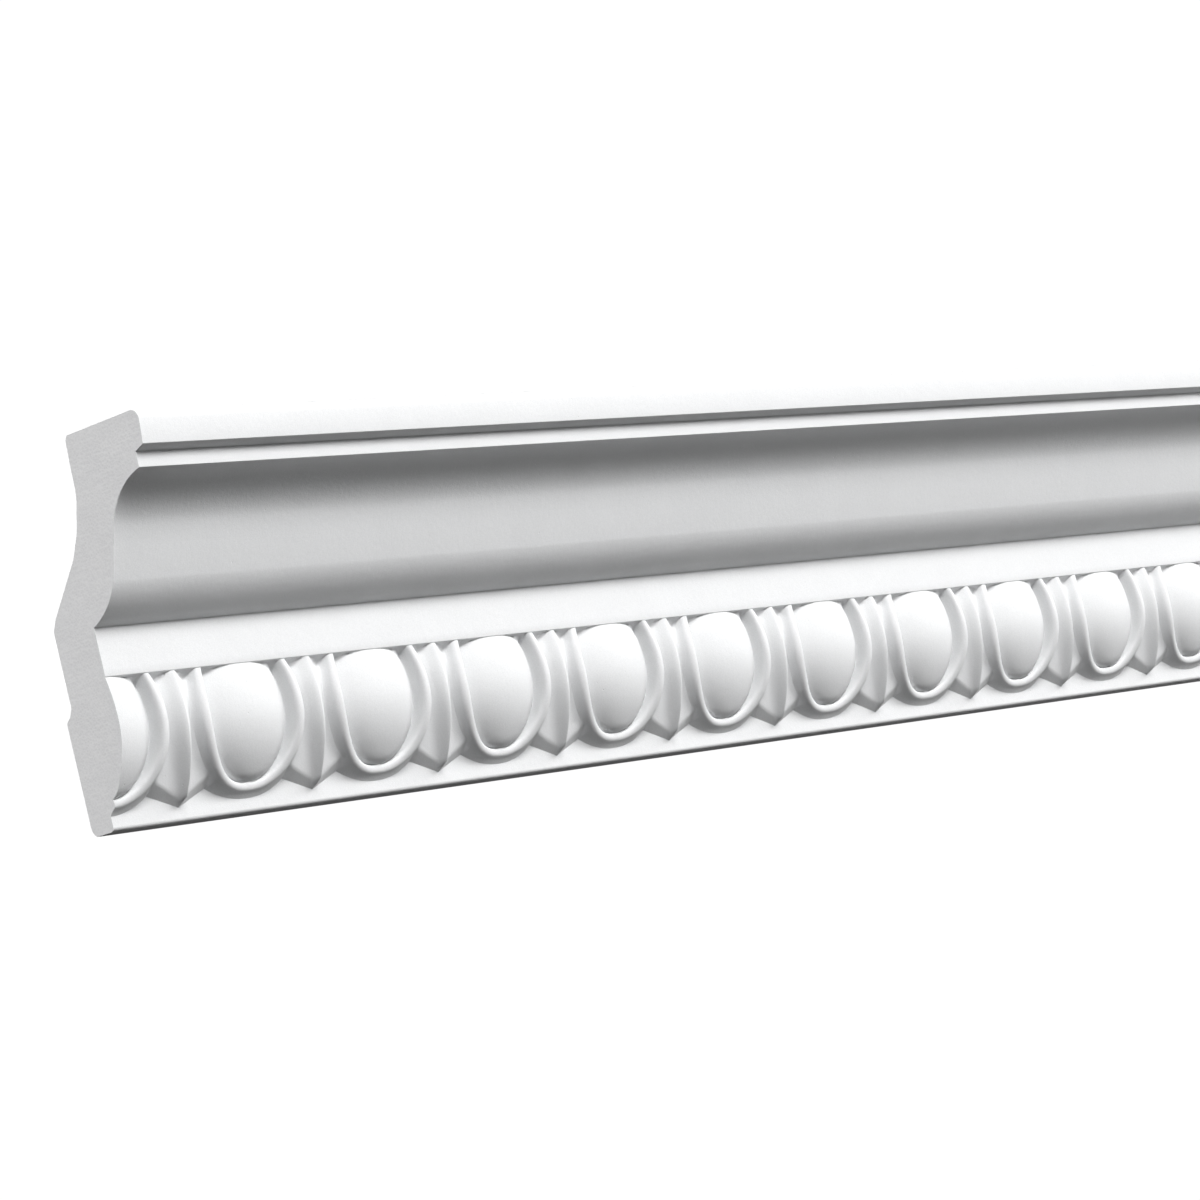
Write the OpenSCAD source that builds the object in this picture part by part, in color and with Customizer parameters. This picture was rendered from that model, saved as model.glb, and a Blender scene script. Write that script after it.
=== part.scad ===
// Cornice moulding section: one cast length with an egg-and-dart course.
// Frame: +X along the length, +Y into the wall, +Z up. The origin is the
// centre of the land that bears on the wall. The section is drawn in its own
// plane first: out = distance out of the wall, down = distance below the ceiling.

/* [Overall] */
// Length of the piece between its two square cuts
moulding_length = 569.8; // [110:0.1:1200]
// Reach of the top member out of the wall
projection = 48.5; // [40:0.1:62]

/* [Top member] */
// Height of the square top member's face
fascia_h = 9.2; // [6:0.1:14]
// Inward lean of that face over its height, the mould's draft
fascia_draft = 0.6; // [0:0.1:1]
// Radius of the rounded top front edge
lip_r = 2.8; // [1:0.1:4]
// Depth of the step behind the top member's lower edge
step_in = 3.1; // [1.5:0.1:5]
// Drop of the step's underside, from its edge to its back
step_drop = 1.1; // [0.4:0.1:2]
// Height of the narrow fillet under the step
fillet_h = 4.2; // [2.5:0.1:7]

/* [Cyma] */
// Height of the cyma, from the fillet to the plain band
cyma_h = 34.5; // [29:0.1:44]
// Radius of the hollow upper half
cyma_hollow_r = 17.4; // [14:0.1:26]
// Radius of the round lower half
cyma_round_r = 19; // [15:0.1:24]
// Height of the hollow half
cyma_hollow_h = 12.2; // [9:0.1:15]
// Reach of the hollow half
cyma_hollow_w = 13.2; // [10:0.1:16]
// Height of the round half
cyma_round_h = 9.7; // [7:0.1:12]
// Reach of the round half
cyma_round_w = 10.4; // [8:0.1:13]

/* [Band and toe] */
// Distance of the plain band's face from the wall
band_out = 16.9; // [14:0.1:20.5]
// Height of the plain band
band_h = 12.9; // [9:0.1:18]
// Drop of the band's underside, from its edge to its back
band_undercut = 1; // [0.4:0.1:1.5]
// Distance of the flat ground behind the ornament from the wall
ground_out = 7.7; // [6.5:0.1:9]
// Height of the plain toe under the ornament
toe_h = 3.8; // [2.5:0.1:6]
// Radius of the toe's lower front edge
toe_r = 1; // [0.4:0.1:1.5]

/* [Back] */
// Width of the land that bears on the ceiling
ceiling_land_w = 23.6; // [18:0.1:28]
// Height of the land that bears on the wall
wall_land_h = 27.3; // [20:0.1:34]
// Chamfer between the wall land and the toe's underside
heel_r = 2.7; // [1:0.1:4]
// Depth of the relief above the wall land
relief_d = 2.8; // [1.5:0.1:4]
// Height of the flat relief above the wall land
relief_h = 20; // [14:0.1:22]
// Height of the slope that rounds the relief into the back's hollow
relief_blend_h = 3.1; // [1.5:0.1:5]
// Height of the steep upper part of the back
upper_back_h = 14.3; // [10:0.1:18]
// Reach of the slope between the relief and the steep upper part
back_slope_w = 16.9; // [12:0.1:21]

/* [Egg and dart] */
// Distance from one egg to the next; the widths along the run below are
// those of a repeat of 51.8, and spread or close up with the repeat
pitch = 51.8; // [43:0.1:63]
// Distance of the first egg's centre before the near cut
first_egg_before_cut = 1; // [0:0.1:25]
// Height of the ornament, from the band to the ground outline's lowest point
course_h = 34.3; // [28.5:0.1:41.5]
// How far the fullest part of the eggs stands out in front of the band
crown_proud = 1.2; // [0.6:0.1:2.5]
// Distance of the fullest part below the band
crown_drop = 11.1; // [8.5:0.1:14]
// Half width of an egg, in a repeat of 51.8
egg_half_w = 15.1; // [12:0.1:16]
// Depth of an egg's flanks below its crown
egg_relief = 4.6; // [3:0.1:7]
// Width of the rim round each egg, in a repeat of 51.8
rim_w = 3.8; // [2.5:0.1:4.5]
// Gap between an egg's flank and its rim, in a repeat of 51.8
rim_gap = 0.8; // [0.5:0.1:1.5]
// Distance of the rim's face from the wall, under the egg
rim_foot_out = 10; // [9.2:0.1:11]
// Width of the rim under the egg
rim_foot_w = 2.7; // [1.8:0.1:3.5]
// Reach of the slope under the rim, down to the ground
rim_undercut = 1.4; // [0.8:0.1:2.2]
// Half width of the dart's blade at the top, in a repeat of 51.8
blade_half_w = 5; // [4:0.1:6]
// Fall of the blade's ridge from its fullest part to its tip
blade_fall = 6.5; // [5:0.1:8]
// Height of the blade's tip above the ornament's lowest point
tip_rise = 2.1; // [1.5:0.1:3]
// Distance of the valley beside the blade behind the band's face
valley_back = 1.7; // [1:0.1:3]
// Height of the sloping underside below the arrowhead's barbs
barb_undercut = 3.4; // [2:0.1:4.5]

/* [Hidden] */
white = [0.93, 0.93, 0.93];
arc_steps = 10;

// Heights of the members' edges, below the ceiling.
step_top = fascia_h;
fillet_top = step_top + step_drop;
fillet_end = fillet_top + fillet_h;
cyma_end = fillet_end + cyma_h;
course_top = cyma_end + band_h;
toe_top = course_top + course_h;
total_h = toe_top + toe_h;
fillet_out = projection - fascia_draft - step_in;
land_top = total_h - heel_r - wall_land_h;
origin_down = land_top + wall_land_h / 2;

// Points of a circular arc from p to q; r > 0 bulges to the left of the way.
function arc(p, q, r, n = arc_steps) =
    let (d = norm(q - p), m = (p + q) / 2, s = sign(r),
         u = (q - p) / d, w = [-u[1], u[0]],
         h = sqrt(max(r * r - d * d / 4, 0)),
         c = m - s * h * w,
         a = atan2(p[1] - c[1], p[0] - c[0]),
         t = 2 * asin(min(1, d / 2 / abs(r))))
    [for (i = [0:n]) c + abs(r) * [cos(a - s * t * i / n), sin(a - s * t * i / n)]];

// The section as [out, -down] points, clockwise seen along +X from the near cut.
section = let (
    top_back = projection - lip_r * 0.75 - ceiling_land_w,
    hollow_end = [fillet_out - cyma_hollow_w, -fillet_end - cyma_hollow_h],
    round_start = [band_out + cyma_round_w, -cyma_end + cyma_round_h],
    relief_top = -(land_top - 3.5 - relief_h),
    slope_top = [relief_d + 1.8 + back_slope_w, -upper_back_h]
) concat(
    arc([projection - lip_r * 0.75, 0], [projection, -lip_r], lip_r * 1.05, 5),
    [[projection - fascia_draft, -step_top],
     [fillet_out, -fillet_top]],
    arc([fillet_out, -fillet_end], hollow_end, -cyma_hollow_r),
    arc(round_start, [band_out, -cyma_end], cyma_round_r),
    [[band_out, -course_top],
     [band_out - 3.9, -course_top - band_undercut],
     [ground_out, -course_top - band_undercut]],
    arc([ground_out, -total_h + toe_r], [ground_out - toe_r, -total_h], toe_r * 1.05, 4),
    arc([heel_r * 0.5, -total_h], [0, -total_h + heel_r], heel_r * 1.4, 4),
    [[0, -land_top],
     [relief_d * 0.6, -land_top + 1.4],
     [relief_d, -land_top + 3.5],
     [relief_d, relief_top],
     [relief_d + 1.8, relief_top + relief_blend_h],
     slope_top - [6.2, 16.4],
     slope_top - [2.9, 10.3],
     slope_top - [0.5, 2.7],
     slope_top,
     [top_back - 1.1, -upper_back_h * 0.5],
     [top_back - 0.7, -1.2],
     [top_back, 0]]
);

// ---- Egg and dart: half a repeat, from an egg's centre to a dart's centre ----
// Points are [along, out, below the band]. Columns follow the carving's own lines.
half = pitch / 2;
spread = pitch / 51.8;
egg_w = egg_half_w * spread;
gap_w = rim_gap * spread;
bead_w = rim_w * spread;
blade_w = blade_half_w * spread;
egg_end = course_h - rim_undercut - rim_foot_w;
rim_end = course_h - rim_undercut;
tip_end = course_h + 0.2;
tip_down = course_h - tip_rise;
barb_down = egg_end - barb_undercut;
roundness = 2.3;
upper_rows = 4;
lower_rows = 10;
rows = upper_rows + lower_rows;
barb_row = upper_rows + 6;
EGG = 5;
FOOT = 9;
LAST = 12;

// The face that every ridge of the carving touches.
function face_out(s) = band_out + crown_proud - (s < crown_drop
    ? (crown_proud + 0.1) * pow((crown_drop - s) / crown_drop, 2)
    : (band_out + crown_proud - rim_foot_out - 0.9)
        * pow((s - crown_drop) / (egg_end - crown_drop), 2));

// One point of a U round the egg: w = half width, e = its lowest point.
function u_point(w, e, j) = j <= upper_rows
    ? let (s = crown_drop * (j - 1) / (upper_rows - 1), v = (crown_drop - max(s, 0)) / (crown_drop * 2.33))
        [w * sqrt(1 - v * v), s]
    : let (a = 90 * (j - upper_rows) / lower_rows)
        [w * pow(cos(a), 2 / roundness), crown_drop + (e - crown_drop) * pow(sin(a), 2 / roundness)];

// How deep the egg's flanks lie below the face, fading out under the egg.
function flank(j) = egg_relief * (j <= upper_rows ? 1
    : pow(cos(90 * (j - upper_rows) / lower_rows), 0.55));

egg_share = [0, 0.38, 0.7, 0.9, 0.98, 1];
rim_share = [0.14, 0.5, 0.86];
rim_low = [0.45, 0, 0.5];

function egg_point(j, c) = let (p = u_point(egg_w, egg_end, j), k = egg_share[c])
    [p[0] * k, max(rim_foot_out, face_out(p[1])) * (j == rows ? 0 : 1)
        + (j == rows ? rim_foot_out + 0.1 : 0) - flank(j) * (1 - sqrt(1 - k * k)), p[1]];

function rim_point(j, c) = let (
        f = rim_share[c - 6],
        crest = u_point(egg_w + gap_w + bead_w / 2, egg_end + rim_foot_w / 2, j)[1],
        p = u_point(egg_w + gap_w + bead_w * f, egg_end + rim_foot_w * f, j))
    [p[0], max(rim_foot_out, face_out(crest)) - rim_low[c - 6], p[1]];

function valley_out(s) = band_out - valley_back - (s < crown_drop * 0.72
    ? 1.8 * pow(1 - s / (crown_drop * 0.72), 2)
    : (band_out - valley_back - ground_out - 3.6)
        * pow((s - crown_drop * 0.72) / (barb_down - crown_drop * 0.72), 1.25));

// The foot of the rim: in the valley above the barb, on the ground below it.
foot_w = egg_w + gap_w + bead_w + 0.7 * spread;
function ground_point(a) = // a = 0 at the peak beside the barb, 1 under the egg
    let (q = u_point(egg_w + gap_w + bead_w, rim_end, barb_row))
    [q[0] * 1.03 * cos(90 * a), ground_out,
     egg_end + 0.1 + (course_h - egg_end - 0.1) * sin(90 * a)];
function foot_raw(j) = j < barb_row
    ? let (p = u_point(foot_w, rim_end + 0.5, j)) [p[0], valley_out(max(p[1], 0)), p[1]]
    : ground_point((j - barb_row) / (rows - barb_row));
// Points on the ground are carried on behind it, so the slopes run into it.
function sink(a, g) = g + (g - a) / max(a[1] - g[1], 0.5);
function foot_point(j) = j < barb_row ? foot_raw(j)
    : j == barb_row ? sink(foot_raw(j - 1), foot_raw(j)) : sink(rim_point(j, 8), foot_raw(j));

// The blade: its half width, and its ridge's distance from the wall.
function blade_half(s) = blade_w * (1 - 0.66 * pow(min(s, tip_down) / (tip_down - 1), 1.6));
function ridge_out(s) = s < crown_drop ? face_out(s)
    : band_out + crown_proud - blade_fall * pow((s - crown_drop) / (tip_down - crown_drop), 2);
function ridge_down(j) = let (s = foot_raw(j)[2])
    s + (tip_down - barb_down) * pow(max(s, 0) / barb_down, 3) * (j < barb_row ? 1 : 0);

function dart_raw(j, c) = let (
        s9 = foot_raw(j)[2], s12 = min(ridge_down(j), tip_down),
        s = c == LAST ? s12 : s9 + (s12 - s9) * 0.8,
        b = blade_half(s), foot = min(valley_out(max(s9, 0)) - (s - s9) * 0.3, ridge_out(s) - 0.6))
    c == LAST ? [half, ridge_out(s), s]
    : c == 11 ? [half - b * 0.5, foot + (ridge_out(s) - foot) * 0.45, s]
    : [half - b, foot, s];
dart_ground = [for (f = [0.84, 0.93, 1]) [f * half, ground_out,
    egg_end + 0.1 + (tip_end - egg_end - 0.1) * (f * half - ground_point(0)[0]) / (half - ground_point(0)[0])]];
function dart_point(j, c) = j < barb_row ? dart_raw(j, c)
    : sink(dart_raw(barb_row - 1, c), dart_ground[c - 10]);

function carving_point(j, c) = c <= EGG ? egg_point(j, c) : c < FOOT ? rim_point(j, c)
    : c == FOOT ? foot_point(j) : dart_point(j, c);
function snap(v) = round(v * 1024) / 1024;
// The top row runs on into the band.
function embedded(p) = [p[0], min(p[1], band_out - 0.4), -1];

// Half a repeat: from the egg's centre at x to the dart on its right (way 1) or left (way -1).
module half_repeat(x, way) {
    front = [for (j = [0:rows]) for (c = [0:j <= barb_row ? LAST : FOOT])
        j == 0 ? embedded(carving_point(1, c)) : carving_point(j, c)];
    function id(j, c) = let (k = j == rows && c < EGG ? EGG : c)
        j <= barb_row ? j * (LAST + 1) + k
        : (barb_row + 1) * (LAST + 1) + (j - barb_row - 1) * (FOOT + 1) + k;
    function distinct(t) = t[0] != t[1] && t[1] != t[2] && t[0] != t[2];
    skin = [for (j = [0:rows - 1]) for (c = [0:(j < barb_row ? LAST : FOOT) - 1])
        for (t = [[id(j, c), id(j + 1, c), id(j + 1, c + 1)], [id(j, c), id(j + 1, c + 1), id(j, c + 1)]])
            if (distinct(t)) t];
    rim_loop = concat(
        [for (j = [0:rows - 1]) id(j, 0)], [for (c = [EGG:FOOT]) id(rows, c)],
        [for (j = [rows - 1:-1:barb_row]) id(j, FOOT)],
        [for (c = [FOOT + 1:LAST]) id(barb_row, c)],
        [for (j = [barb_row - 1:-1:0]) id(j, LAST)], [for (c = [LAST - 1:-1:1]) id(0, c)]);
    n = len(rim_loop);
    base = len(front);
    back = [for (i = rim_loop) [front[i][0], ground_out - 2.5, front[i][2]]];
    walls = [for (i = [0:n - 1]) let (k = (i + 1) % n)
        each [[rim_loop[i], base + i, base + k], [rim_loop[i], base + k, rim_loop[k]]]];
    faces = concat(skin, walls, [[for (i = [n - 1:-1:0]) base + i]]);
    // [along, out, down] to [X, out, up]; neighbours share their points exactly
    polyhedron([for (p = concat(front, back)) [snap(x + way * p[0]), p[1], -p[2]]],
        way > 0 ? faces : [for (f = faces) [for (i = [len(f) - 1:-1:0]) f[i]]]);
}

module egg_and_dart_course() {
    count = ceil((moulding_length + first_egg_before_cut) / pitch);
    resize([0, 0, 0]) intersection() {
        translate([0, 0, -course_top]) union()
            for (k = [0:count], way = [-1, 1])
                half_repeat(k * pitch - first_egg_before_cut, way);
        translate([0, 0, -total_h]) cube([moulding_length, projection, total_h]);
    }
}

// Plain run of the section, without its ornament.
module moulding_run() {
    rotate([90, 0, 90]) linear_extrude(moulding_length) polygon(section);
}

module cornice_moulding() {
    color(white)
        translate([-moulding_length / 2, 0, origin_down]) mirror([0, 1, 0]) {
            moulding_run();
            egg_and_dart_course();
        }
}

cornice_moulding();
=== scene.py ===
"""A cast cornice moulding with an egg-and-dart course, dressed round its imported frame."""

import logging
import math
from dataclasses import dataclass, field
from enum import Enum
from typing import Any

import bmesh
import bpy
import numpy as np
from mathutils import Matrix, Vector


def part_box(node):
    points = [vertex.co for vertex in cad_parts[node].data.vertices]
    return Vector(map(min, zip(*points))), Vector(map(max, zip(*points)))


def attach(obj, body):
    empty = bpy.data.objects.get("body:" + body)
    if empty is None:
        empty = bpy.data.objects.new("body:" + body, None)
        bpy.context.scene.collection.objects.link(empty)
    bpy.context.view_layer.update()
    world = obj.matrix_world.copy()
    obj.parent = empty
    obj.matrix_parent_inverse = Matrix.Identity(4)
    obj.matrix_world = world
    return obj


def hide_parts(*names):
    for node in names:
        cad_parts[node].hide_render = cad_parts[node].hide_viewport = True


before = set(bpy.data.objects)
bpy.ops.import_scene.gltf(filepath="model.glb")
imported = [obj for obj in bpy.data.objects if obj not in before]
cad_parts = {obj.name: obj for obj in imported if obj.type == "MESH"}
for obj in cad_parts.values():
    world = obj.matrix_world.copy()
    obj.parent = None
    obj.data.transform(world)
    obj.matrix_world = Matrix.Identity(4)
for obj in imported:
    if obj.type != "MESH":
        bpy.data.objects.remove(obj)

LOG = logging.getLogger("cornice")
MM = 0.001
NODE = "cornice_moulding"
WELD_MM = 0.002


class Side(Enum):
    """Which way a half of the carving faces along the run."""

    LEFT = -1.0
    RIGHT = 1.0


class Slot(Enum):
    """Material places on the casting."""

    SKIN = 0
    SAWN = 1


# --------------------------------------------------------------------------------------
# Plane geometry in millimetres
# --------------------------------------------------------------------------------------
def arc(start: tuple[float, float], end: tuple[float, float], radius: float, steps: int) -> list:
    """Points of a circular arc between two points.

    Args:
        start: First point.
        end: Last point.
        radius: Radius; positive bulges to the left of the way, negative to the right.
        steps: Number of chords.

    Returns:
        The points, both ends among them.
    """
    p, q = Vector(start), Vector(end)
    way = q - p
    reach = way.length
    side = math.copysign(1.0, radius)
    left = Vector((-way.y, way.x)) / reach
    rise = math.sqrt(max(radius * radius - reach * reach / 4, 0.0))
    centre = (p + q) / 2 - side * rise * left
    first = math.atan2(p.y - centre.y, p.x - centre.x)
    turn = 2 * math.asin(min(1.0, reach / 2 / abs(radius)))
    return [
        (
            centre.x + abs(radius) * math.cos(first - side * turn * i / steps),
            centre.y + abs(radius) * math.sin(first - side * turn * i / steps),
        )
        for i in range(steps + 1)
    ]


def eased(corner: tuple[float, float], before: tuple[float, float], after: tuple[float, float],
          radius: float, steps: int = 4) -> list:
    """A corner worn round by a small radius.

    Args:
        corner: The sharp corner.
        before: The point before it.
        after: The point after it.
        radius: Radius of the easing; nothing or less keeps the corner sharp.
        steps: Number of chords.

    Returns:
        The points that take the corner's place.
    """
    if radius <= 0:
        return [corner]
    c, a, b = Vector(corner), Vector(before) - Vector(corner), Vector(after) - Vector(corner)
    la, lb = a.length, b.length
    a, b = a / la, b / lb
    half_angle = math.acos(max(-1.0, min(1.0, a.dot(b)))) / 2
    if half_angle > math.radians(88):
        return [corner]
    setback = min(radius / math.tan(half_angle), 0.45 * la, 0.45 * lb)
    p, q = c + a * setback, c + b * setback
    points = []
    for i in range(steps + 1):
        t = i / steps
        points.append(tuple(p * (1 - t) ** 2 + c * 2 * t * (1 - t) + q * t * t))
    return points


# --------------------------------------------------------------------------------------
# Mesh building
# --------------------------------------------------------------------------------------
class Weave:
    """Collects points and faces; patches that share a border are welded at the end."""

    def __init__(self) -> None:
        """Starts empty."""
        self.points: list[np.ndarray] = []
        self.faces: list[list[int]] = []
        self.count = 0

    def add(self, points: np.ndarray) -> int:
        """Adds points and returns the first one's index."""
        first = self.count
        self.points.append(np.asarray(points, float).reshape(-1, 3))
        self.count += len(self.points[-1])
        return first

    def patch(self, rows: np.ndarray) -> None:
        """Adds a four-sided patch.

        Args:
            rows: Points as an array of rows by columns by three.
        """
        tall, wide = rows.shape[:2]
        first = self.add(rows)
        for j in range(tall - 1):
            for i in range(wide - 1):
                k = first + j * wide + i
                self.faces.append([k, k + 1, k + wide + 1, k + wide])

    def panel(self, outline: np.ndarray) -> None:
        """Adds one flat many-sided face."""
        first = self.add(outline)
        self.faces.append(list(range(first, self.count)))

    def mesh(self, name: str) -> bpy.types.Mesh:
        """Welds the patches into one mesh.

        Args:
            name: Name of the mesh.

        Returns:
            The welded mesh, in millimetres.
        """
        mesh = bpy.data.meshes.new(name)
        mesh.from_pydata(np.vstack(self.points).tolist(), [], self.faces)
        work = bmesh.new()
        work.from_mesh(mesh)
        bmesh.ops.remove_doubles(work, verts=work.verts, dist=WELD_MM)
        bmesh.ops.dissolve_degenerate(work, dist=WELD_MM / 2, edges=work.edges)
        work.to_mesh(mesh)
        work.free()
        return mesh


# --------------------------------------------------------------------------------------
# The section: everything that runs straight
# --------------------------------------------------------------------------------------
@dataclass
class Section:
    """The moulding's section in millimetres: out from the wall, and down from the ceiling."""

    projection: float = 48.5
    fascia_h: float = 9.2
    fascia_draft: float = 0.6
    lip_r: float = 2.8
    step_in: float = 3.1
    step_drop: float = 1.1
    fillet_h: float = 4.2
    cyma_h: float = 34.5
    hollow_r: float = 17.4
    round_r: float = 19.0
    hollow: tuple[float, float] = (13.2, 12.2)
    rounding: tuple[float, float] = (10.4, 9.7)
    band_out: float = 16.9
    band_h: float = 12.9
    band_undercut: float = 1.0
    ground_out: float = 7.7
    toe_h: float = 3.8
    toe_r: float = 1.0
    ceiling_land_w: float = 23.6
    wall_land_h: float = 27.3
    heel_r: float = 2.7
    relief_d: float = 2.8
    relief_h: float = 20.0
    relief_blend_h: float = 3.1
    upper_back_h: float = 14.3
    back_slope_w: float = 16.9
    course_h: float = 34.3
    edge_r: float = 0.2

    @property
    def course_top(self) -> float:
        """Depth of the band's lower edge below the ceiling."""
        return self.fascia_h + self.step_drop + self.fillet_h + self.cyma_h + self.band_h

    @property
    def height(self) -> float:
        """Height of the whole section."""
        return self.course_top + self.course_h + self.toe_h

    @property
    def origin_down(self) -> float:
        """Depth of the wall land's centre below the ceiling."""
        return self.height - self.heel_r - self.wall_land_h / 2

    def front(self) -> list:
        """The front from the band's lower edge up to the ceiling, as (out, down) points."""
        fillet_top = self.fascia_h + self.step_drop
        fillet_end = fillet_top + self.fillet_h
        cyma_end = fillet_end + self.cyma_h
        fillet_out = self.projection - self.fascia_draft - self.step_in
        round_end = (self.band_out, cyma_end)
        round_start = (self.band_out + self.rounding[0], cyma_end - self.rounding[1])
        hollow_start = (fillet_out - self.hollow[0], fillet_end + self.hollow[1])
        lip_in = (self.projection - self.lip_r * 0.75, 0.0)
        face_low = (self.projection - self.fascia_draft, self.fascia_h)
        face_high = (self.projection, self.lip_r)
        step_back = (fillet_out, fillet_top)
        fillet_low = (fillet_out, fillet_end)
        rounded = arc(round_end, round_start, self.round_r, 18)
        hollowed = arc(hollow_start, fillet_low, -self.hollow_r, 20)
        return (
            rounded
            + hollowed[:-1]
            + eased(fillet_low, hollowed[-2], step_back, self.edge_r)
            + eased(step_back, fillet_low, face_low, self.edge_r * 0.8)
            + eased(face_low, step_back, face_high, self.edge_r * 1.2)
            + arc(face_high, lip_in, self.lip_r * 1.05, 9)
        )

    def back(self) -> list:
        """The rest, from the ceiling down the back and round the toe, as (out, down) points."""
        low, land = self.height, self.height - self.heel_r - self.wall_land_h
        top_back = self.projection - self.lip_r * 0.75 - self.ceiling_land_w
        relief_top = land - 3.5 - self.relief_h
        slope = (self.relief_d + 1.8 + self.back_slope_w, self.upper_back_h)
        corners = [
            (top_back - 0.7, 1.2), (top_back - 1.1, self.upper_back_h * 0.5), slope,
            (slope[0] - 0.5, slope[1] + 2.7), (slope[0] - 2.9, slope[1] + 10.3),
            (slope[0] - 6.2, slope[1] + 16.4), (self.relief_d + 1.8, relief_top - self.relief_blend_h),
            (self.relief_d, relief_top), (self.relief_d, land - 3.5),
            (self.relief_d * 0.6, land - 1.4), (0.0, land),
        ]
        easings = [0.3, 6.0, 6.0, 12.0, 12.0, 8.0, 2.0, 2.0, 1.5, 0.6, 0.6]
        line = [(top_back, 0.0), *corners, (0.0, low - self.heel_r)]
        eased_line = [(top_back, 0.0)]
        for i, r in enumerate(easings, 1):
            eased_line += eased(line[i], line[i - 1], line[i + 1], r, 5)
        heel = arc((0.0, low - self.heel_r), (self.heel_r * 0.5, low), self.heel_r * 1.4, 5)
        toe = arc((self.ground_out - self.toe_r, low), (self.ground_out, low - self.toe_r),
                  self.toe_r * 1.05, 6)
        return eased_line + heel + toe


# --------------------------------------------------------------------------------------
# The carving: one half repeat, from an egg's centre to a dart's centre
# --------------------------------------------------------------------------------------
@dataclass
class Carving:
    """Egg-and-dart course in millimetres: along the run, out from the wall, below the band."""

    section: Section
    pitch: float = 51.8
    crown_proud: float = 1.2
    crown_drop: float = 11.1
    egg_half_w: float = 15.1
    egg_relief: float = 4.6
    egg_tip_round: float = 0.8
    rim_gap: float = 0.8
    rim_w: float = 3.8
    rim_foot_out: float = 10.0
    rim_foot_w: float = 2.7
    rim_undercut: float = 1.4
    roundness: float = 2.3
    valley_w: float = 1.2
    valley_back: float = 1.7
    barb_x: float = 15.0
    barb_drop: float = 26.9
    barb_undercut: float = 3.4
    facet_top: float = 19.1
    facet_end: tuple[float, float] = (1.65, 31.7)
    blade_fall: float = 6.5
    tip_rise: float = 2.1
    ridge_round: float = 0.3
    upper_rows: int = 15
    lower_rows: int = 42
    fall_rows: int = 5
    egg_columns: int = 15
    facet_columns: int = 5
    blade_columns: int = 7
    soften: int = 2
    pooling: int = 6

    @property
    def half(self) -> float:
        """Half a repeat."""
        return self.pitch / 2

    @property
    def egg_end(self) -> float:
        """Depth of the egg's lowest point below the band."""
        return self.section.course_h - self.rim_undercut - self.rim_foot_w

    @property
    def rim_end(self) -> float:
        """Depth of the rim's lowest edge below the band."""
        return self.section.course_h - self.rim_undercut

    @property
    def tip_down(self) -> float:
        """Depth of the blade's tip below the band."""
        return self.section.course_h - self.tip_rise

    @property
    def blade_half_w(self) -> float:
        """Half width of the dart's blade between the rims."""
        return self.half - self.egg_half_w - self.rim_gap - self.rim_w - self.valley_w

    def face(self, s: np.ndarray) -> np.ndarray:
        """The face that every ridge of the carving touches.

        Args:
            s: Depth below the band.

        Returns:
            Distance out from the wall.
        """
        crown = self.section.band_out + self.crown_proud
        upper = (self.crown_proud + 0.1) * ((self.crown_drop - s) / self.crown_drop) ** 2
        lower = (crown - self.rim_foot_out - 0.9) * (
            (s - self.crown_drop) / (self.egg_end - self.crown_drop)) ** 2
        return crown - np.where(s < self.crown_drop, upper, lower)

    def hoop(self, half_w: float, lowest: float, t: np.ndarray) -> tuple[np.ndarray, np.ndarray]:
        """A U round the egg.

        Args:
            half_w: Its greatest half width.
            lowest: Depth of its lowest point.
            t: Steps along it, 0 to 1 down the straight arm and 1 to 2 round the bottom.

        Returns:
            Along and depth of each step.
        """
        s_up = self.crown_drop * np.minimum(t, 1.0)
        lean = (self.crown_drop - s_up) / (self.crown_drop * 2.33)
        turn = np.radians(90.0 * np.clip(t - 1.0, 0.0, 1.0))
        x = half_w * np.sqrt(1 - lean**2) * np.maximum(np.cos(turn), 0.0) ** (2 / self.roundness)
        x = np.where(t >= 2.0, 0.0, x)
        s = s_up + (lowest - self.crown_drop) * np.sin(turn) ** (2 / self.roundness)
        return x, s

    def steps(self) -> tuple[np.ndarray, int]:
        """Steps along the hoops, and the row at which the dart's barb stands."""
        upper = np.linspace(0.0, 1.0, self.upper_rows + 1)
        lower = np.linspace(1.0, 2.0, self.lower_rows + 1)[1:]
        t = np.concatenate([upper, lower])
        x, _ = self.hoop(self.egg_half_w + self.rim_gap + self.rim_w, self.rim_end, t)
        barb = int(np.argmin(np.abs(x - self.barb_x) + (t < 1.0) * 100))
        return t, barb

    def flank(self, t: np.ndarray) -> np.ndarray:
        """Depth of the egg's flanks below its crown, fading out under the egg."""
        turn = np.radians(90.0 * np.clip(t - 1.0, 0.0, 1.0))
        return self.egg_relief * np.maximum(np.cos(turn), 0.0) ** 0.55

    def valley(self, s: np.ndarray) -> np.ndarray:
        """Distance out of the valley's bottom, beside the dart."""
        knee = self.crown_drop * 0.72
        floor = self.section.band_out - self.valley_back
        upper = 1.8 * np.clip(1 - s / knee, 0, 1) ** 2
        span = self.facet_top - knee
        lower = (floor - 13.0) * np.clip((s - knee) / span, 0, 1) ** 1.5
        return floor - upper - lower

    def facet(self, x: np.ndarray, s: np.ndarray) -> np.ndarray:
        """Distance out of the flat facet beside the dart's blade."""
        barb, end = (self.barb_x, self.barb_drop, 11.3), (self.half - self.facet_end[0],
                                                         self.facet_end[1], 9.3)
        top = (self.half - 5.7, self.facet_top, 13.0)
        m = np.array([[p[0], p[1], 1.0] for p in (barb, end, top)])
        a, b, c = np.linalg.solve(m, np.array([barb[2], end[2], top[2]]))
        return a * x + b * s + c

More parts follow.
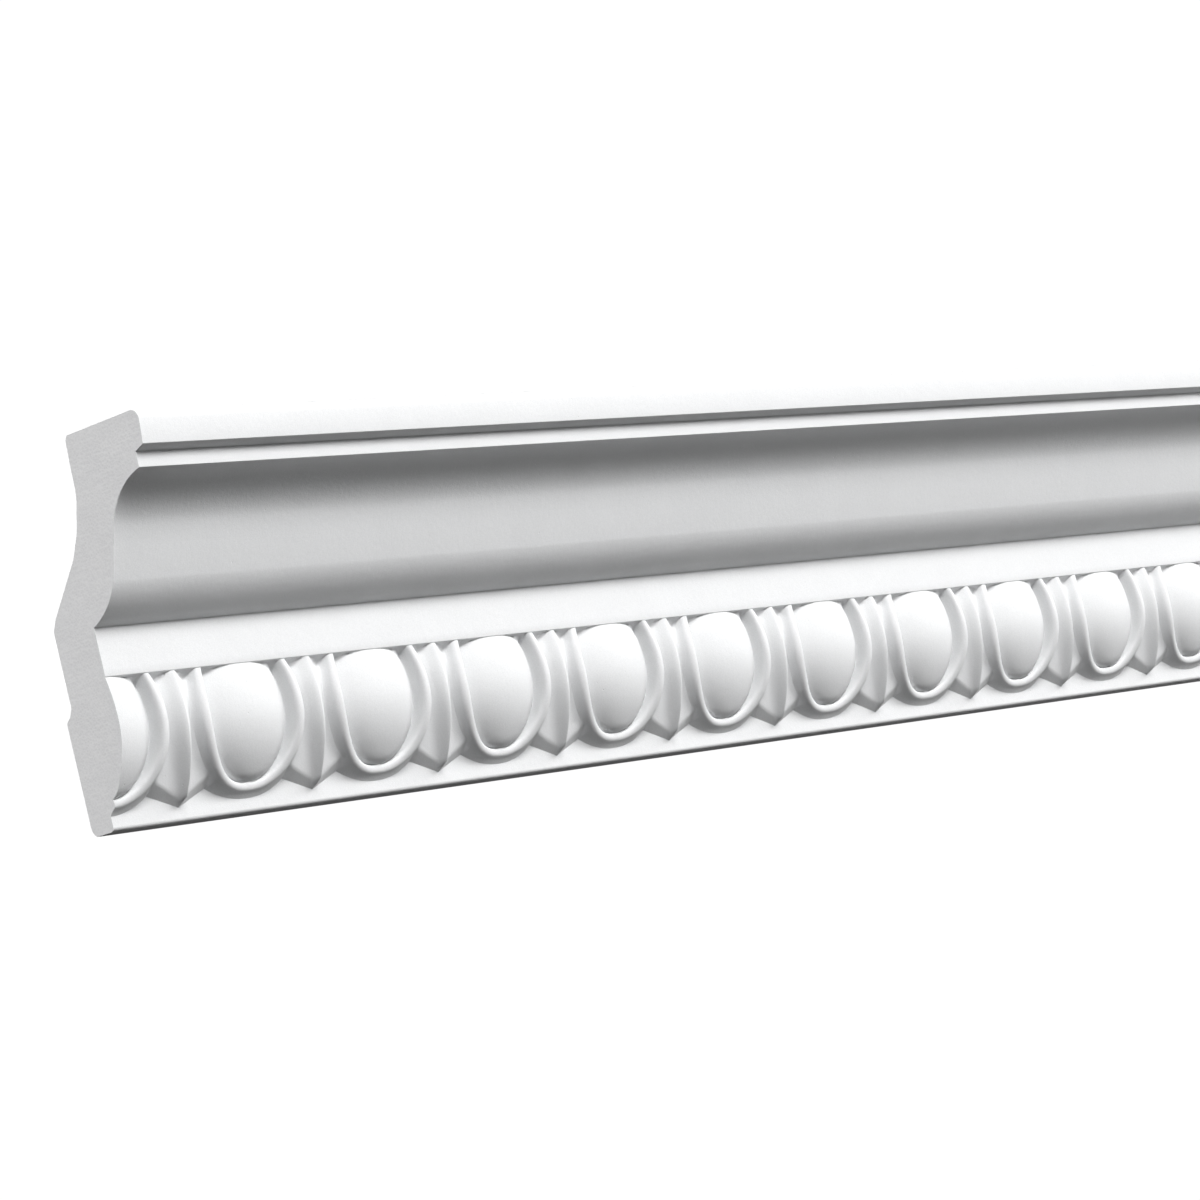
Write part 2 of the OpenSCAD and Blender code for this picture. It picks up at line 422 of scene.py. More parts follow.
    def ground_line(self, x: np.ndarray) -> np.ndarray:
        """Depth of the carving's outline on the flat ground."""
        peak = self.barb_drop + self.barb_undercut
        low = self.section.course_h
        under_egg = peak + (low - peak) * (1 - np.clip(x / self.barb_x, 0, 1) ** 2.2)
        under_dart = peak + (low - peak) * (x - self.barb_x) / (self.half - self.barb_x)
        return np.where(x <= self.barb_x, under_egg, under_dart)

    def dip(self, s: np.ndarray) -> np.ndarray:
        """How far the eggs' lowest ends turn in behind the face."""
        return self.egg_tip_round * np.clip((s - (self.egg_end - 3.2)) / 3.2, 0, 1) ** 4

    def egg(self, t: np.ndarray) -> np.ndarray:
        """The egg's half, as rows by columns of points."""
        x, s = self.hoop(self.egg_half_w, self.egg_end, t)
        k = np.sin(np.linspace(0, math.pi / 2, self.egg_columns + 1))
        crown = np.maximum(self.face(s), self.rim_foot_out)
        crown = crown - self.dip(s)
        crown[-1] = self.rim_foot_out + 0.1
        drop = self.flank(t)[:, None] * (1 - np.sqrt(1 - k[None, :] ** 2))
        return np.stack([x[:, None] * k, crown[:, None] - drop, np.repeat(s[:, None], len(k), 1)], -1)

    def rim(self, t: np.ndarray) -> np.ndarray:
        """The rim: channel, inner wall and rounded bead, as rows by columns of points."""
        # place across the rim (0 inner edge, 1 outer edge), and depth below the face
        bead = [(0.0, 0.8, 1), (0.04, 0.45, 1), (0.1, 0.21, 1), (0.19, 0.085, 1), (0.3, 0.02, 1),
                (0.44, 0.0, 0), (0.58, 0.03, 0), (0.71, 0.12, 0), (0.83, 0.3, 0), (0.93, 0.58, 0),
                (1.0, 0.95, 0)]
        flank = self.flank(t)
        columns = []
        edge = self.egg(t)[:, -1, :]
        columns.append(edge)
        gap_x, gap_s = self.hoop(self.egg_half_w + self.rim_gap * 0.7, self.egg_end, t)
        columns.append(np.stack([gap_x, edge[:, 1] - 0.06 * flank, gap_s], -1))
        _, middle = self.hoop(self.egg_half_w + self.rim_gap + self.rim_w / 2,
                              self.egg_end + self.rim_foot_w / 2, t)
        fall = np.clip((middle - self.crown_drop) / (middle[-1] - self.crown_drop), 0, 1)
        crown = self.section.band_out + self.crown_proud
        crest = np.where(middle < self.crown_drop, self.face(middle),
                         crown - (crown - self.rim_foot_out) * fall**2)
        for place, low, inner in bead:
            width = self.egg_half_w + self.rim_gap + self.rim_w * place
            x, s = self.hoop(width, self.egg_end + self.rim_foot_w * place, t)
            depth = low * flank if inner else np.full_like(s, low)
            columns.append(np.stack([x, crest - depth, s], -1))
        return np.stack(columns, 1)

    def foot(self, t: np.ndarray, barb: int) -> np.ndarray:
        """The line where the rim's outer wall ends: valley, facet edge, then the ground."""
        outer = self.egg_half_w + self.rim_gap + self.rim_w
        x, s = self.hoop(outer + 1.1, self.rim_end + 0.4, t)
        near_x, near_s = self.hoop(outer + 0.35, self.rim_end + 0.3, t)
        share = np.clip((s - 12.0) / 9.0, 0, 1)
        x, s = x * (1 - share) + near_x * share, s * (1 - share) + near_s * share
        y = np.where(s < self.facet_top, self.valley(s), self.facet(x, s))
        line = np.stack([x, y, s], -1)
        line[: barb + 1, 2] *= self.barb_drop / line[barb, 2]
        line[barb] = (self.barb_x, 11.3, self.barb_drop)
        peak = np.array([self.barb_x, self.section.ground_out,
                         self.barb_drop + self.barb_undercut])
        for j in range(1, self.fall_rows + 1):
            line[barb + j] = line[barb] + (peak - line[barb]) * j / self.fall_rows
        first = barb + self.fall_rows
        for j in range(first, len(t)):
            along = self.barb_x * math.cos(math.pi / 2 * (j - first) / (len(t) - 1 - first))
            along = 0.0 if j == len(t) - 1 else along
            line[j] = (along, self.section.ground_out, float(self.ground_line(np.array(along))))
        return line

    def wall(self, edge: np.ndarray, foot: np.ndarray) -> np.ndarray:
        """The rim's outer wall, from the bead's edge to its foot, with a hollow root."""
        columns = []
        for f in (0.0, 0.3, 0.6, 0.82, 1.0):
            p = edge * (1 - f) + foot * f
            p[:, 1] -= 0.16 * math.sin(math.pi * f) * np.clip(edge[:, 1] - foot[:, 1], 0, 2)
            columns.append(p)
        return np.stack(columns, 1)

    def ridge(self, s: np.ndarray) -> np.ndarray:
        """Distance out of the blade's ridge."""
        crown = self.section.band_out + self.crown_proud
        share = (s - self.crown_drop) / (self.tip_down - self.crown_drop)
        return np.where(s < self.crown_drop, self.face(s), crown - self.blade_fall * share**2)

    def rounded(self, u: float) -> float:
        """Share of the blade's fall at a share of its half width, round at the ridge."""
        r = self.ridge_round
        return (math.hypot(u, r) - r) / (math.hypot(1.0, r) - r)

    def dart(self, foot: np.ndarray, barb: int) -> np.ndarray:
        """Facet, blade and underside of the dart's half, as rows by columns of points."""
        rows = []
        for j in range(barb + 1):
            s0 = float(foot[j, 2])
            late = (s0 / self.barb_drop) ** 3
            s1 = s0 + (self.facet_end[1] - self.barb_drop) * late
            s2 = s0 + (self.tip_down - self.barb_drop) * late
            b = self.blade_half_w * (1 - 0.66 * (s1 / (self.tip_down - 1)) ** 1.6)
            root_x = max(self.half - b, float(foot[j, 0]) + 0.3)
            flat = float(self.facet(np.array(root_x), np.array(s1)))
            dip = float(self.valley(np.array(s1)))
            share = min(max((s1 - 15.0) / 6.0, 0.0), 1.0)
            root = np.array([root_x, dip * (1 - share) + flat * share, s1])
            top = np.array([self.half, float(self.ridge(np.array(s2))), s2])
            root[1] = min(root[1], top[1] - 0.25)
            row = [foot[j] + (root - foot[j]) * i / self.facet_columns
                   for i in range(self.facet_columns)]
            for i in range(self.blade_columns + 1):
                f = (i / self.blade_columns) ** 0.75
                p = root + (top - root) * f
                p[1] = top[1] - (top[1] - root[1]) * self.rounded(1 - f)
                row.append(p)
            rows.append(np.array(row))
        last = rows[-1]
        landed = last.copy()
        landed[:, 0] = self.barb_x + (last[:, 0] - self.barb_x)
        landed[:, 1] = self.section.ground_out
        landed[:, 2] = self.ground_line(landed[:, 0])
        for j in range(1, self.fall_rows + 1):
            rows.append(last + (landed - last) * j / self.fall_rows)
        return np.stack(rows)

    def tucked(self, patch: np.ndarray) -> np.ndarray:
        """Starts a patch's columns on the band's sloping underside.

        Args:
            patch: Rows by columns of points, from the band down.

        Returns:
            The patch with its upper rows squeezed below the underside.
        """
        out = patch.copy()
        slope = self.section.band_undercut / 3.9
        start = np.maximum(self.section.band_out - out[0, :, 1], 0.0) * slope
        reach = 5.0
        ease = np.clip(1 - out[:, :, 2] / reach, 0, 1)
        out[:, :, 2] += start[None, :] * ease
        return out

    def half_repeat(self) -> tuple[Weave, np.ndarray, np.ndarray]:
        """Builds the carving's skin for half a repeat.

        Returns:
            The skin, its upper border and its lower border, egg's centre first.
        """
        t, barb = self.steps()
        egg, rim = self.egg(t), self.rim(t)
        foot = self.foot(t, barb)
        wall = self.wall(rim[:, -1, :], foot)
        dart = self.dart(foot, barb)
        skin = Weave()
        tops = []
        for patch in (egg, rim, wall, dart):
            done = self.tucked(patch)
            skin.patch(done)
            tops.append(done[0])
        top = np.vstack([tops[0], tops[1][1:], tops[2][1:], tops[3][1:]])
        first = barb + self.fall_rows
        bottom = np.vstack([foot[first:][::-1], dart[-1][1:]])
        return skin, top, bottom


# --------------------------------------------------------------------------------------
# One slice of the moulding, and the whole run made from it
# --------------------------------------------------------------------------------------
@dataclass
class Slice:
    """One repeat of the whole section, cut where the piece's ends are cut."""

    section: Section
    carving: Carving
    cut_past_egg: float = 1.0

    def strips(self, skin: Weave, top: np.ndarray, bottom: np.ndarray) -> None:
        """Adds the plain members that close the section round the carving.

        Args:
            skin: The skin to add to.
            top: The carving's upper border.
            bottom: The carving's lower border.
        """
        s, down = self.section, self.section.course_top
        edge_r = 0.28
        lip = []
        for k in range(4):
            turn = math.radians(90.0 * k / 3)
            lip.append((s.band_out - edge_r * (1 - math.sin(turn)), -edge_r * (1 - math.cos(turn))))
        brow = [np.stack([top[:, 0], np.full(len(top), out), np.full(len(top), low)], -1)
                for out, low in lip]
        joint = top.copy()
        joint[:, 1] = np.minimum(top[:, 1], s.band_out - edge_r)
        skin.patch(np.stack([top, brow[0]]))
        skin.patch(np.stack(brow))
        coarse = np.array([0.0, self.carving.half])
        plain_low = -2.2
        self.fan(skin, brow[-1], s.band_out, plain_low)
        toe_line = s.height - down - s.toe_r - 0.6
        fine_toe = bottom.copy()
        fine_toe[:, 2] = toe_line
        skin.patch(np.stack([bottom, bottom * 0.5 + fine_toe * 0.5, fine_toe]))
        self.fan(skin, fine_toe, s.ground_out, s.height - down - s.toe_r)
        loop = [(s.band_out, down + plain_low)] + s.front() + s.back()
        rows = [np.stack([coarse, np.full(len(coarse), out), np.full(len(coarse), low - down)], -1)
                for out, low in loop]
        skin.patch(np.stack(rows))

    def fan(self, skin: Weave, fine: np.ndarray, out: float, low: float) -> None:
        """Joins a finely divided border to the plain members' border with one flat panel.

        Args:
            skin: The skin to add to.
            fine: The fine border, egg's centre first.
            out: The plain border's distance out.
            low: The plain border's depth.
        """
        skin.panel(np.vstack([fine, [[self.carving.half, out, low], [0.0, out, low]]]))

    def mesh(self) -> bpy.types.Mesh:
        """Builds the slice, from one cut to the next.

        Returns:
            The mesh, in metres, with its first cut at the origin of the run.
        """
        skin, top, bottom = self.carving.half_repeat()
        self.strips(skin, top, bottom)
        half = skin.mesh("half_repeat")
        work = bmesh.new()
        for side in Side:
            start = len(work.verts)
            work.from_mesh(half)
            work.verts.ensure_lookup_table()
            for v in work.verts[start:]:
                v.co.x *= side.value
        bmesh.ops.remove_doubles(work, verts=work.verts, dist=WELD_MM)
        self.soften(work)
        self.shift_cut(work)
        self.into_frame(work)
        mesh = bpy.data.meshes.new("slice")
        work.to_mesh(mesh)
        work.free()
        bpy.data.meshes.remove(half)
        return mesh

    def soften(self, work: bmesh.types.BMesh) -> None:
        """Eases the carving's creases as a mould does, then lets primer pool in its valleys.

        Args:
            work: The slice, in millimetres, along the run, out and below the band.
        """
        reach, high = self.carving.half, self.section.course_h
        carved = [v for v in work.verts
                  if 0.4 < v.co.z < high + 0.6 and abs(v.co.x) < reach - 1e-4
                  and v.co.y > self.section.ground_out + 0.02 and not v.is_boundary]
        for _ in range(self.carving.soften):
            bmesh.ops.smooth_vert(work, verts=carved, factor=0.25, use_axis_x=True,
                                  use_axis_y=True, use_axis_z=True)
        for _ in range(self.carving.pooling):
            rises = {v: sum(e.other_vert(v).co.y for e in v.link_edges) / len(v.link_edges) - v.co.y
                     for v in carved}
            for v, rise in rises.items():
                if rise > 0.004:
                    v.co.y += 0.6 * rise

    def shift_cut(self, work: bmesh.types.BMesh) -> None:
        """Moves the slice's borders from the darts to where the ends are cut."""
        cut, pitch = self.cut_past_egg, self.carving.pitch
        bmesh.ops.bisect_plane(work, geom=work.verts[:] + work.edges[:] + work.faces[:],
                               dist=1e-5, plane_co=(cut, 0, 0), plane_no=(1, 0, 0))
        bmesh.ops.split_edges(work, edges=[
            e for e in work.edges
            if all(abs(v.co.x - cut) < 1e-4 for v in e.verts) and len(e.link_faces) == 2])
        behind = {v for f in work.faces if f.calc_center_median().x < cut for v in f.verts}
        for v in behind:
            v.co.x += pitch
        bmesh.ops.remove_doubles(work, verts=work.verts, dist=WELD_MM)

    def into_frame(self, work: bmesh.types.BMesh) -> None:
        """Turns (along, out, below the band) in millimetres into the frame's metres."""
        drop = self.section.origin_down - self.section.course_top
        for v in work.verts:
            x, out, low = v.co
            v.co = ((x - self.cut_past_egg) * MM, -out * MM, (drop - low) * MM)


# --------------------------------------------------------------------------------------
# Node wrappers
# --------------------------------------------------------------------------------------
class Wire:
    """A shader socket that takes part in arithmetic."""

    def __init__(self, shop: "Shop", socket: bpy.types.NodeSocket) -> None:
        """Keeps the socket and the tree that it belongs to."""
        self.shop = shop
        self.socket = socket

    def _math(self, operation: str, *values: Any) -> "Wire":
        """Adds a Math node and returns its result."""
        return self.shop.node("ShaderNodeMath", {"operation": operation}, dict(enumerate(values)))

    def __add__(self, other: Any) -> "Wire":
        """Sum."""
        return self._math("ADD", self, other)

    __radd__ = __add__

    def __sub__(self, other: Any) -> "Wire":
        """Difference."""
        return self._math("SUBTRACT", self, other)

    def __rsub__(self, other: Any) -> "Wire":
        """Difference the other way."""
        return self._math("SUBTRACT", other, self)

    def __mul__(self, other: Any) -> "Wire":
        """Product."""
        return self._math("MULTIPLY", self, other)

    __rmul__ = __mul__

    def __truediv__(self, other: Any) -> "Wire":
        """Quotient."""
        return self._math("DIVIDE", self, other)

    def __pow__(self, other: Any) -> "Wire":
        """Power."""
        return self._math("POWER", self, other)

    def band(self, low: float, high: float) -> "Wire":
        """Zero below low, one above high, smooth between."""
        return self.shop.node(
            "ShaderNodeMapRange", {"interpolation_type": "SMOOTHSTEP"},
            {"Value": self, "From Min": low, "From Max": high}, out="Result")


class Shop:
    """Builds one material's nodes."""

    def __init__(self, name: str) -> None:
        """Makes an empty material with its shader and output."""
        self.material = bpy.data.materials.new(name)
        self.material.use_nodes = True
        self.tree = self.material.node_tree
        self.tree.nodes.clear()
        self.output = self.tree.nodes.new("ShaderNodeOutputMaterial")
        self.shader = self.tree.nodes.new("ShaderNodeBsdfPrincipled")
        self.tree.links.new(self.shader.outputs[0], self.output.inputs["Surface"])

    def node(self, kind: str, settings: dict[str, Any] | None = None,
             values: dict[Any, Any] | None = None, out: Any = 0) -> Wire:
        """Adds a node.

        Args:
            kind: The node's type.
            settings: Properties set before its sockets.
            values: Socket name or index to a number, a colour or a wire.
            out: Name or index of the output wanted.

        Returns:
            The wanted output.
        """
        made = self.tree.nodes.new(kind)
        for key, value in (settings or {}).items():
            setattr(made, key, value)
        for key, value in (values or {}).items():
            self.plug(made.inputs[key], value)
        return Wire(self, made.outputs[out])

    def plug(self, socket: bpy.types.NodeSocket, value: Any) -> None:
        """Links a wire to a socket, or sets the socket's own value."""
        if isinstance(value, Wire):
            self.tree.links.new(value.socket, socket)
        else:
            socket.default_value = value

    def place(self) -> Wire:
        """The surface's place on the piece, in metres."""
        return self.node("ShaderNodeTexCoord", out="Object")

    def noise(self, place: Wire, size: float, detail: float = 2.0, rough: float = 0.5) -> Wire:
        """Soft cloudy noise whose blotches are about the given size in metres."""
        return self.node("ShaderNodeTexNoise", {},
                         {"Vector": place, "Scale": 1 / size, "Detail": detail, "Roughness": rough})

    def mix(self, share: Wire, a: tuple, b: tuple) -> Wire:
        """Blends two colours."""
        made = self.tree.nodes.new("ShaderNodeMix")
        made.data_type = "RGBA"
        self.plug(made.inputs["Factor"], share)
        colours = [s for s in made.inputs if s.type == "RGBA"]
        self.plug(colours[0], (*a, 1.0) if isinstance(a, tuple) else a)
        self.plug(colours[1], (*b, 1.0) if isinstance(b, tuple) else b)
        return Wire(self, next(s for s in made.outputs if s.type == "RGBA"))

    def bump(self, height: Wire, strength: float, distance: float) -> Wire:
        """Turns a height into a surface normal."""
        return self.node("ShaderNodeBump", {},
                         {"Height": height, "Strength": strength, "Distance": distance})


@dataclass(frozen=True)
class PrimedSkin:
    """White factory primer over moulded foam: matt, faintly grained, with a few pin holes."""

    colour: tuple[float, float, float] = (0.828, 0.834, 0.840)
    shade: tuple[float, float, float] = (0.770, 0.776, 0.782)
    grain: float = 0.00035
    pore: float = 0.0032
    roughness: float = 0.62

    def material(self) -> bpy.types.Material:
        """Builds the finish."""
        shop = Shop("primed_skin")
        place = shop.place()
        grain = shop.noise(place, self.grain, 3.0, 0.6)
        cloud = shop.noise(place, 0.012, 3.0)
        orange_peel = shop.noise(place, 0.0016, 2.0)
        cell = shop.node("ShaderNodeTexVoronoi", {"feature": "F1"},
                         {"Vector": place, "Scale": 1 / self.pore, "Randomness": 1.0}, out="Distance")
        gate = shop.noise(place, 0.009, 2.0).band(0.56, 0.66)
        pits = (1 - cell.band(0.03, 0.085)) * gate
        tone = cloud.band(0.3, 0.7) * 0.25 + grain.band(0.32, 0.68) * 0.75
        colour = shop.mix(tone, self.shade, self.colour)
        height = grain * 0.5 + orange_peel * 0.6 - pits * 1.6
        shop.plug(shop.shader.inputs["Base Color"], colour)
        shop.plug(shop.shader.inputs["Roughness"], self.roughness - 0.06 + grain * 0.12)
        shop.plug(shop.shader.inputs["Normal"], shop.bump(height, 0.45, 0.00018))
        shop.shader.inputs["Specular IOR Level"].default_value = 0.3
        return shop.material


@dataclass(frozen=True)
class SawnFoam:
    """Bare rigid foam where the saw went through: closed cells and faint saw lines."""

    colour: tuple[float, float, float] = (0.885, 0.885, 0.89)
    cell_shade: tuple[float, float, float] = (0.80, 0.80, 0.81)
    cell: float = 0.0007

    def material(self) -> bpy.types.Material:
        """Builds the finish."""
        shop = Shop("sawn_foam")
        place = shop.place()
        cells = shop.node("ShaderNodeTexVoronoi", {"feature": "F1"},
                          {"Vector": place, "Scale": 1 / self.cell}, out="Distance")
        cloud = shop.noise(place, 0.006, 3.0)
        stretch = shop.node("ShaderNodeMapping", {},
                            {"Vector": place, "Rotation": (0.35, 0.0, 0.0),
                             "Scale": (1.0, 60.0, 1400.0)})
        lines = shop.node("ShaderNodeTexNoise", {}, {"Vector": stretch, "Scale": 1.0, "Detail": 2.0})
        tone = cells.band(0.1, 0.8) * 0.5 + cloud.band(0.3, 0.7) * 0.3 + lines.band(0.3, 0.7) * 0.2
        shop.plug(shop.shader.inputs["Base Color"], shop.mix(tone, self.cell_shade, self.colour))
        shop.plug(shop.shader.inputs["Roughness"], 0.8 + cells * 0.12)
        shop.plug(shop.shader.inputs["Normal"],
                  shop.bump(cells * 0.6 + lines * 0.5, 0.35, 0.00015))
        shop.shader.inputs["Specular IOR Level"].default_value = 0.2
        return shop.material


@dataclass(frozen=True)
class StudioFloor:
    """Plain pale floor."""

    colour: tuple[float, float, float] = (0.8, 0.8, 0.8)
    glow: tuple[float, float, float] = (0.62, 0.625, 0.63)

    def material(self) -> bpy.types.Material:
        """Builds the finish; its own glow keeps it pale wherever it is seen from."""
        shop = Shop("studio_floor")
        cloud = shop.noise(shop.place(), 0.6, 2.0)
        shop.plug(shop.shader.inputs["Base Color"],
                  shop.mix(cloud, self.colour, tuple(c * 1.03 for c in self.colour)))
        shop.shader.inputs["Roughness"].default_value = 0.8
        shop.shader.inputs["Emission Color"].default_value = (*self.glow, 1.0)
        shop.shader.inputs["Emission Strength"].default_value = 1.0
        return shop.material


# --------------------------------------------------------------------------------------
# The casting
# --------------------------------------------------------------------------------------
@dataclass
class Casting:
    """The whole length: slices repeated along the run, with its two sawn ends."""

    section: Section
    carving: Carving
    skin: PrimedSkin = field(default_factory=PrimedSkin)
    sawn: SawnFoam = field(default_factory=SawnFoam)
    crease: float = 38.0

    def run_tree(self, material: bpy.types.Material) -> bpy.types.NodeTree:
        """Geometry nodes that repeat a slice along the run.

        Args:
            material: Not used; the slices take their material through the Skin input.

        Returns:
            The node tree.
        """
        tree = bpy.data.node_groups.new("moulding_run", "GeometryNodeTree")
        for name, kind in (("Geometry", "Geometry"), ("Repeats", "Int"), ("Pitch", "Float"),
                           ("Near Cut", "Float"), ("Weld", "Float"), ("Skin", "Material")):
            tree.interface.new_socket(name, in_out="INPUT", socket_type=f"NodeSocket{kind}")
        tree.interface.new_socket("Geometry", in_out="OUTPUT", socket_type="NodeSocketGeometry")
        add = tree.nodes.new
        given, result = add("NodeGroupInput"), add("NodeGroupOutput")
        line, step, start = (add("GeometryNodeMeshLine"), add("ShaderNodeCombineXYZ"),
                             add("ShaderNodeCombineXYZ"))
        line.mode = "OFFSET"
        spread, real = add("GeometryNodeInstanceOnPoints"), add("GeometryNodeRealizeInstances")
        weld, dress = add("GeometryNodeMergeByDistance"), add("GeometryNodeSetMaterial")
        for giver, output, taker, entry in (
                (given, "Pitch", step, "X"), (given, "Near Cut", start, "X"),
                (given, "Repeats", line, "Count"), (step, "Vector", line, "Offset"),
                (start, "Vector", line, "Start Location"), (line, "Mesh", spread, "Points"),
                (given, "Geometry", spread, "Instance"), (spread, "Instances", real, "Geometry"),
                (real, "Geometry", weld, "Geometry"), (given, "Weld", weld, "Distance"),
                (weld, "Geometry", dress, "Geometry"), (given, "Skin", dress, "Material"),
                (dress, "Geometry", result, "Geometry")):
            tree.links.new(giver.outputs[output], taker.inputs[entry])
        return tree

    def run_mesh(self, low: Vector, high: Vector, material: bpy.types.Material) -> bpy.types.Mesh:
        """Repeats the slice between the two cuts.

        Args:
            low: Lowest corner of the casting's box.
            high: Highest corner of the casting's box.
            material: The skin's material.

        Returns:
            A plain mesh, open at both ends.
        """
        holder = bpy.data.objects.new("slice", Slice(self.section, self.carving).mesh())
        bpy.context.collection.objects.link(holder)
        modifier = holder.modifiers.new("run", "NODES")
        tree = self.run_tree(material)
        modifier.node_group = tree
        pitch = self.carving.pitch * MM
        values = {"Repeats": round((high.x - low.x) / pitch), "Pitch": pitch, "Near Cut": low.x,
                  "Weld": WELD_MM * MM, "Skin": material}
        for item in tree.interface.items_tree:
            if item.in_out == "INPUT" and item.name in values:
                modifier[item.identifier] = values[item.name]
        depsgraph = bpy.context.evaluated_depsgraph_get()
        mesh = bpy.data.meshes.new_from_object(holder.evaluated_get(depsgraph))
        holder.modifiers.remove(modifier)
        bpy.data.objects.remove(holder)
        return mesh

    def saw_ends(self, mesh: bpy.types.Mesh) -> None:
        """Closes the run's two open ends with sawn faces."""
        work = bmesh.new()
        work.from_mesh(mesh)
        ends = [e for e in work.edges if e.is_boundary]
        LOG.info("open border edges: %d", len(ends))
        closed = bmesh.ops.holes_fill(work, edges=ends, sides=0)
        for f in closed["faces"]:
            f.material_index = Slot.SAWN.value
            f.smooth = False
            for e in f.edges:
                e.smooth = False
        bmesh.ops.recalc_face_normals(work, faces=work.faces)
        LOG.info("sawn faces: %d, still open: %d", len(closed["faces"]),
                 sum(1 for e in work.edges if not e.is_manifold))
        work.to_mesh(mesh)
        work.free()

    def build(self) -> bpy.types.Object:
        """Builds and dresses the casting.

        Returns:
            The finished piece.
        """
        low, high = (Vector(c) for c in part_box(NODE))
        skin, sawn = self.skin.material(), self.sawn.material()
        mesh = self.run_mesh(low, high, skin)
        mesh.name = "cornice_casting"
        mesh.materials.clear()
        mesh.materials.append(skin)
        mesh.materials.append(sawn)
        for polygon in mesh.polygons:
            polygon.material_index = Slot.SKIN.value
        mesh.shade_smooth()
        mesh.set_sharp_from_angle(angle=math.radians(self.crease))
        self.saw_ends(mesh)
        piece = bpy.data.objects.new("cornice_casting", mesh)
        bpy.context.collection.objects.link(piece)
        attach(piece, "root")
        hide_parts(NODE)
        return piece


# --------------------------------------------------------------------------------------
# The studio
# --------------------------------------------------------------------------------------
@dataclass(frozen=True)
class Lamp:
    """A soft square light that looks at the piece from a bearing and an elevation in degrees."""

    name: str
    bearing: float
    elevation: float
    side: float
    power: float
    reach: float = 2.6

    def build(self) -> bpy.types.Object:
        """Makes the light."""
        data = bpy.data.lights.new(self.name, "AREA")
        data.size = self.side
        data.energy = self.power
        lamp = bpy.data.objects.new(self.name, data)
        b, e = math.radians(self.bearing), math.radians(self.elevation)
        way = Vector((math.cos(e) * math.sin(b), -math.cos(e) * math.cos(b), math.sin(e)))
        lamp.location = way * self.reach
        lamp.rotation_euler = (-way).to_track_quat("-Z", "Y").to_euler()
        bpy.context.collection.objects.link(lamp)
        return lamp


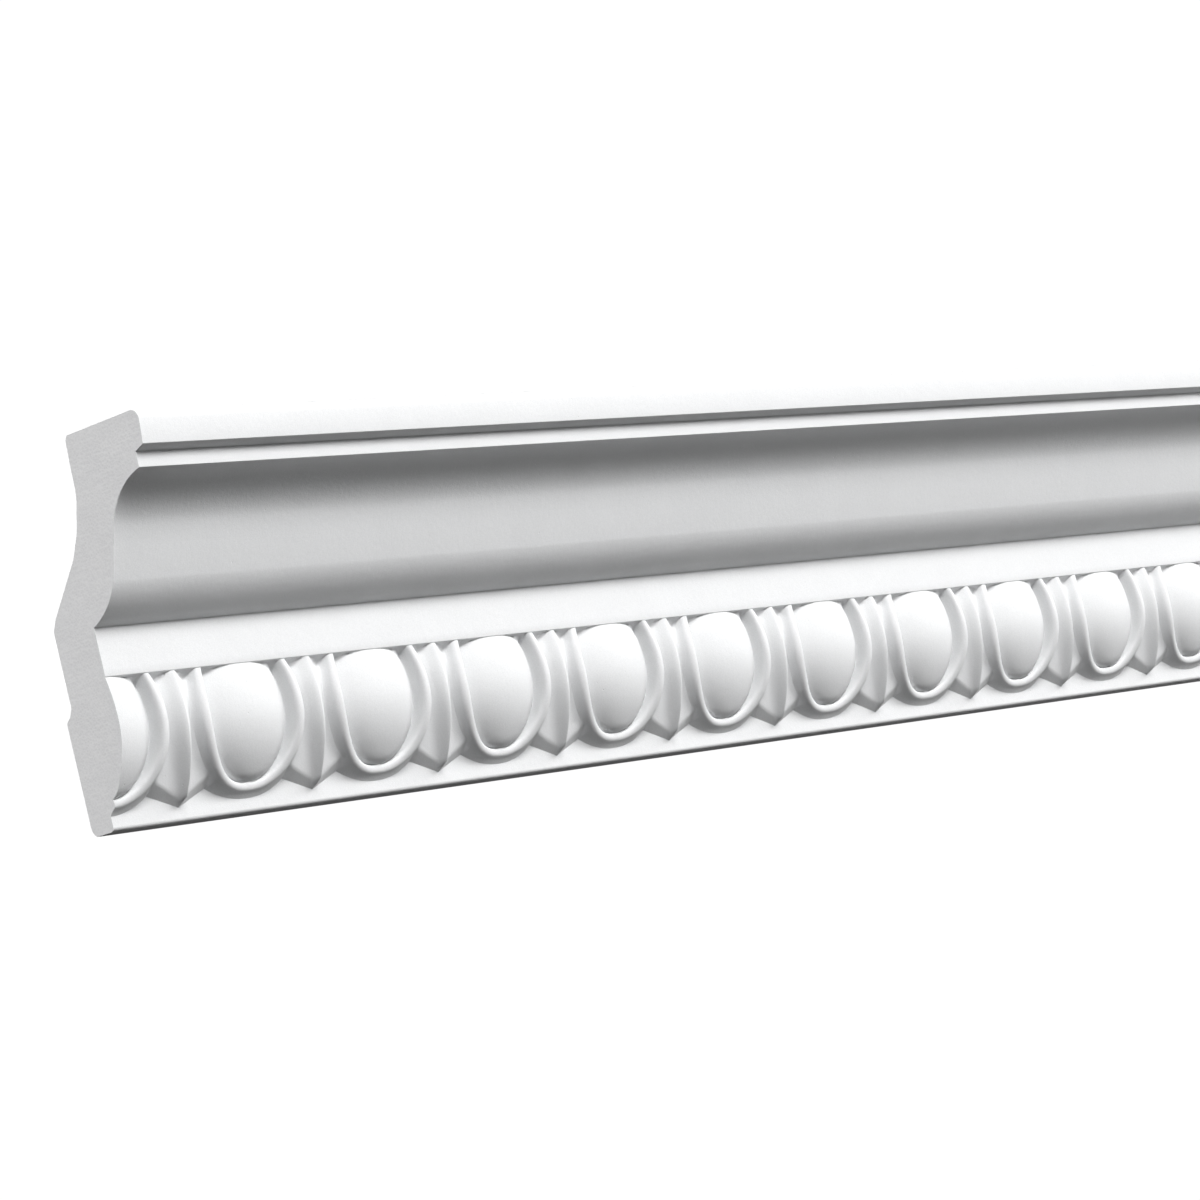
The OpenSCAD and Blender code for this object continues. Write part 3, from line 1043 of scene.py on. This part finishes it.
@dataclass
class Studio:
    """Camera, floor, backdrop light and lamps."""

    section: Section
    near_cut: float
    floor_z: float = -1.2
    floor_side: float = 9.0
    lens: float = 150.0
    sensor: float = 36.0
    eye: tuple[float, float, float] = (-910.757, -891.375, -213.871)
    forward: tuple[float, float, float] = (0.78205, 0.61315, 0.11159)
    up: tuple[float, float, float] = (0.06163, -0.25426, 0.96517)
    lamps: tuple[Lamp, ...] = (
        Lamp("key_left", -25, 33, 1.0, 35.0),
        Lamp("key_middle", -6, 38, 1.0, 14.5),
        Lamp("key_right", 25, 38, 1.0, 37.5),
        Lamp("key_far_right", 62, 26, 1.0, 25.0),
        Lamp("key_top", -25, 58, 1.0, 6.5),
        Lamp("low_right", 76, -18, 1.0, 11.5),
        Lamp("low_front", 12, -62, 1.0, 4.2),
        Lamp("left_fill", -128, 20, 1.0, 44.0),
        Lamp("back_fill", 165, 15, 1.0, 24.0),
    )

    def camera(self) -> None:
        """Places the camera, which looks along the run from below the near end."""
        f, u = Vector(self.forward).normalized(), Vector(self.up).normalized()
        r = f.cross(u).normalized()
        u = r.cross(f)
        eye = Vector((self.eye[0] * MM + self.near_cut, self.eye[1] * MM,
                      (self.eye[2] + self.section.origin_down) * MM))
        data = bpy.data.cameras.new("camera")
        data.lens, data.sensor_width = self.lens, self.sensor
        data.clip_start, data.clip_end = 0.05, 60.0
        camera = bpy.data.objects.new("camera", data)
        camera.matrix_world = Matrix((
            (r.x, u.x, -f.x, eye.x), (r.y, u.y, -f.y, eye.y), (r.z, u.z, -f.z, eye.z), (0, 0, 0, 1)))
        bpy.context.collection.objects.link(camera)
        bpy.context.scene.camera = camera

    def backdrop(self) -> None:
        """White surroundings; they light the piece from above more than from below."""
        world = bpy.data.worlds.new("studio")
        bpy.context.scene.world = world
        world.use_nodes = True
        tree = world.node_tree
        tree.nodes.clear()
        add, link = tree.nodes.new, tree.links.new
        out, mix = add("ShaderNodeOutputWorld"), add("ShaderNodeMixShader")
        seen, lit = add("ShaderNodeBackground"), add("ShaderNodeBackground")
        ray = add("ShaderNodeLightPath")
        coord, split = add("ShaderNodeTexCoord"), add("ShaderNodeSeparateXYZ")
        ramp = add("ShaderNodeMapRange")
        seen.inputs["Color"].default_value = (1.0, 1.0, 1.0, 1.0)
        seen.inputs["Strength"].default_value = 1.05
        ramp.interpolation_type = "SMOOTHSTEP"
        ramp.inputs["From Min"].default_value = -0.5
        ramp.inputs["From Max"].default_value = 0.5
        ramp.inputs["To Min"].default_value = 0.0
        ramp.inputs["To Max"].default_value = 0.02
        link(coord.outputs["Generated"], split.inputs[0])
        link(split.outputs["Z"], ramp.inputs["Value"])
        link(ramp.outputs[0], lit.inputs["Strength"])
        link(ray.outputs["Is Camera Ray"], mix.inputs[0])
        link(lit.outputs[0], mix.inputs[1])
        link(seen.outputs[0], mix.inputs[2])
        link(mix.outputs[0], out.inputs["Surface"])

    def floor(self) -> None:
        """Lays the floor well below the piece."""
        half, z = self.floor_side / 2, self.floor_z
        mesh = bpy.data.meshes.new("floor")
        mesh.from_pydata([(-half, -half, z), (half, -half, z), (half, half, z), (-half, half, z)],
                         [], [(0, 1, 2, 3)])
        mesh.materials.append(StudioFloor().material())
        slab = bpy.data.objects.new("floor", mesh)
        slab.visible_diffuse = slab.visible_glossy = slab.visible_shadow = False
        bpy.context.collection.objects.link(slab)

    def build(self) -> None:
        """Sets the whole studio up."""
        self.camera()
        self.backdrop()
        self.floor()
        for lamp in self.lamps:
            lamp.build()
        bpy.context.scene.view_settings.view_transform = "Standard"


def main() -> None:
    """Builds the studio and the casting."""
    logging.basicConfig(level=logging.INFO, format="%(name)s: %(message)s")
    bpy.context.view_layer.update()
    low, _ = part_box(NODE)
    section = Section()
    Studio(section, low[0]).build()
    casting = Casting(section, Carving(section)).build()
    LOG.info("%s: %d faces", casting.name, len(casting.data.polygons))


if __name__ == "__main__":
    main()
